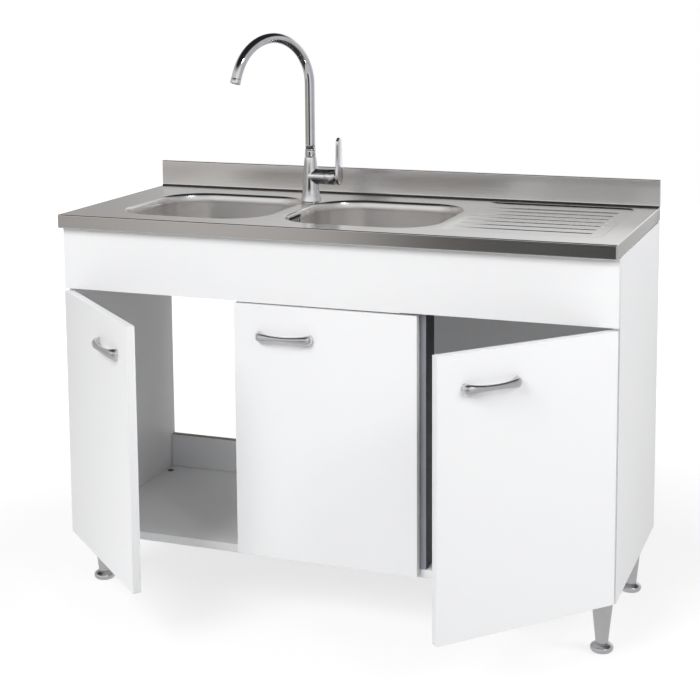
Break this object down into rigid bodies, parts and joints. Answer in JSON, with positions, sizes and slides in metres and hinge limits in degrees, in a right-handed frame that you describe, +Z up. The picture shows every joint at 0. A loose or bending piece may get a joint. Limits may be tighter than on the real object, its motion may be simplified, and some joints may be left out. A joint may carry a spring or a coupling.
{
  "type": "kitchen sink unit",
  "caption": "Freestanding kitchen base unit with doors, screw feet and a pressed steel sink top that has bowls, a ribbed drainer, a splashback and a swan-neck mixer tap.",
  "frame": {"origin": "on the floor, under the centre of the bounding box with the doors ajar as pictured", "axes": "+X along the unit towards the drainer, +Y towards the wall, +Z up"},
  "size_m": [1.202, 0.7812, 1.2243],
  "materials": {
    "white_board": "smooth white melamine on chipboard",
    "dark_steel": "dark blue-grey coated steel",
    "satin_nickel": "satin nickel-plated metal",
    "plated_steel": "bright zinc-plated steel",
    "brushed_steel": "fine brushed stainless steel",
    "waste_plastic": "moulded off-white plastic",
    "chrome": "polished chrome"
  },
  "bodies": {
    "carcass": {"side_panel_left": "white_board", "side_panel_right": "white_board", "bottom_panel": "white_board", "front_apron": "white_board", "lower_back_rail": "white_board", "upper_back_rail": "white_board", "back_panel": "white_board", "hinge_post": "dark_steel", "leg_front_left": "satin_nickel", "leg_front_middle": "satin_nickel", "leg_front_right": "satin_nickel", "leg_back_left": "satin_nickel", "leg_back_middle": "satin_nickel", "leg_back_right": "satin_nickel", "hinge_arm_left_upper": "plated_steel", "hinge_arm_left_lower": "plated_steel", "hinge_arm_middle_upper": "plated_steel", "hinge_arm_middle_lower": "plated_steel", "hinge_arm_right_upper": "plated_steel", "hinge_arm_right_lower": "plated_steel", "tap_nut": "plated_steel", "sink_top": "brushed_steel", "bowl_left": "brushed_steel", "bowl_right": "brushed_steel", "waste_left": "brushed_steel", "waste_right": "brushed_steel", "waste_nut_left": "waste_plastic", "waste_nut_right": "waste_plastic", "tap_body": "chrome", "cartridge_bonnet": "chrome"},
    "door_left": {"door_left": "white_board", "handle_left": "satin_nickel", "hinge_cup_left_upper": "plated_steel", "hinge_cup_left_lower": "plated_steel"},
    "links_left": {"hinge_link_left_upper": "plated_steel", "hinge_link_left_lower": "plated_steel"},
    "door_middle": {"door_middle": "white_board", "handle_middle": "satin_nickel", "hinge_cup_middle_upper": "plated_steel", "hinge_cup_middle_lower": "plated_steel"},
    "links_middle": {"hinge_link_middle_upper": "plated_steel", "hinge_link_middle_lower": "plated_steel"},
    "door_right": {"door_right": "white_board", "handle_right": "satin_nickel", "hinge_cup_right_upper": "plated_steel", "hinge_cup_right_lower": "plated_steel"},
    "links_right": {"hinge_link_right_upper": "plated_steel", "hinge_link_right_lower": "plated_steel"},
    "spout": {"spout": "chrome", "aerator": "chrome"},
    "lever_hub": {"lever_hub": "chrome"},
    "lever": {"lever": "chrome"},
    "basket_left": {"strainer_basket_left": "brushed_steel"},
    "basket_right": {"strainer_basket_right": "brushed_steel"},
    "foot_front_left": {"foot_front_left": "satin_nickel"},
    "foot_front_middle": {"foot_front_middle": "satin_nickel"},
    "foot_front_right": {"foot_front_right": "satin_nickel"},
    "foot_back_left": {"foot_back_left": "satin_nickel"},
    "foot_back_middle": {"foot_back_middle": "satin_nickel"},
    "foot_back_right": {"foot_back_right": "satin_nickel"}
  },
  "joints": [
    {"name": "door_left_swing", "type": "hinge", "parent": "carcass", "child": "door_left", "pos_m": [-0.597, -0.09438, 0.406], "axis": [0, 0, -1], "range_deg": [-42.2, 52.8]},
    {"name": "links_left_slide", "type": "slide", "parent": "carcass", "child": "links_left", "axis": [0, -1, 0], "range_m": [-0.016, 0.02]},
    {"name": "door_middle_swing", "type": "hinge", "parent": "carcass", "child": "door_middle", "pos_m": [0.201, -0.09438, 0.406], "axis": [0, 0, 1], "range_deg": [0, 95]},
    {"name": "links_middle_slide", "type": "slide", "parent": "carcass", "child": "links_middle", "axis": [0, -1, 0], "range_m": [0, 0.0359]},
    {"name": "door_right_swing", "type": "hinge", "parent": "carcass", "child": "door_right", "pos_m": [0.601, -0.09438, 0.406], "axis": [0, 0, 1], "range_deg": [-48.1, 46.9]},
    {"name": "links_right_slide", "type": "slide", "parent": "carcass", "child": "links_right", "axis": [0, -1, 0], "range_m": [-0.0182, 0.0178]},
    {"name": "spout_swivel", "type": "hinge", "parent": "carcass", "child": "spout", "pos_m": [-0.1475, 0.21662, 0.9489], "axis": [0, 0, 1], "range_deg": [-114.5, 165.5]},
    {"name": "mixer_temperature", "type": "hinge", "parent": "carcass", "child": "lever_hub", "pos_m": [-0.0975, 0.21662, 0.9039], "axis": [1, 0, 0], "range_deg": [-45, 45]},
    {"name": "mixer_flow", "type": "hinge", "parent": "lever_hub", "child": "lever", "pos_m": [-0.08365, 0.21662, 0.8919], "axis": [0, 1, 0], "range_deg": [0, 20]},
    {"name": "basket_left_lift", "type": "slide", "parent": "carcass", "child": "basket_left", "axis": [0, 0, 1], "range_m": [0, 0.2]},
    {"name": "basket_right_lift", "type": "slide", "parent": "carcass", "child": "basket_right", "axis": [0, 0, 1], "range_m": [0, 0.2]},
    {"name": "foot_front_left_turn", "type": "hinge", "parent": "carcass", "child": "foot_front_left", "pos_m": [-0.569, -0.00838, 0.01], "axis": [0, 0, 1], "continuous": true},
    {"name": "foot_front_middle_turn", "type": "hinge", "parent": "carcass", "child": "foot_front_middle", "pos_m": [0.235, -0.00838, 0.01], "axis": [0, 0, 1], "continuous": true},
    {"name": "foot_front_right_turn", "type": "hinge", "parent": "carcass", "child": "foot_front_right", "pos_m": [0.562, -0.00838, 0.01], "axis": [0, 0, 1], "continuous": true},
    {"name": "foot_back_left_turn", "type": "hinge", "parent": "carcass", "child": "foot_back_left", "pos_m": [-0.569, 0.31462, 0.01], "axis": [0, 0, 1], "continuous": true},
    {"name": "foot_back_middle_turn", "type": "hinge", "parent": "carcass", "child": "foot_back_middle", "pos_m": [0.235, 0.31462, 0.01], "axis": [0, 0, 1], "continuous": true},
    {"name": "foot_back_right_turn", "type": "hinge", "parent": "carcass", "child": "foot_back_right", "pos_m": [0.562, 0.31462, 0.01], "axis": [0, 0, 1], "continuous": true}
  ],
  "couplings": [
    {"joint": "links_left_slide", "follows": "door_left_swing", "m_per_rad": 0.0216},
    {"joint": "links_middle_slide", "follows": "door_middle_swing", "m_per_rad": 0.0216},
    {"joint": "links_right_slide", "follows": "door_right_swing", "m_per_rad": 0.0216}
  ]
}
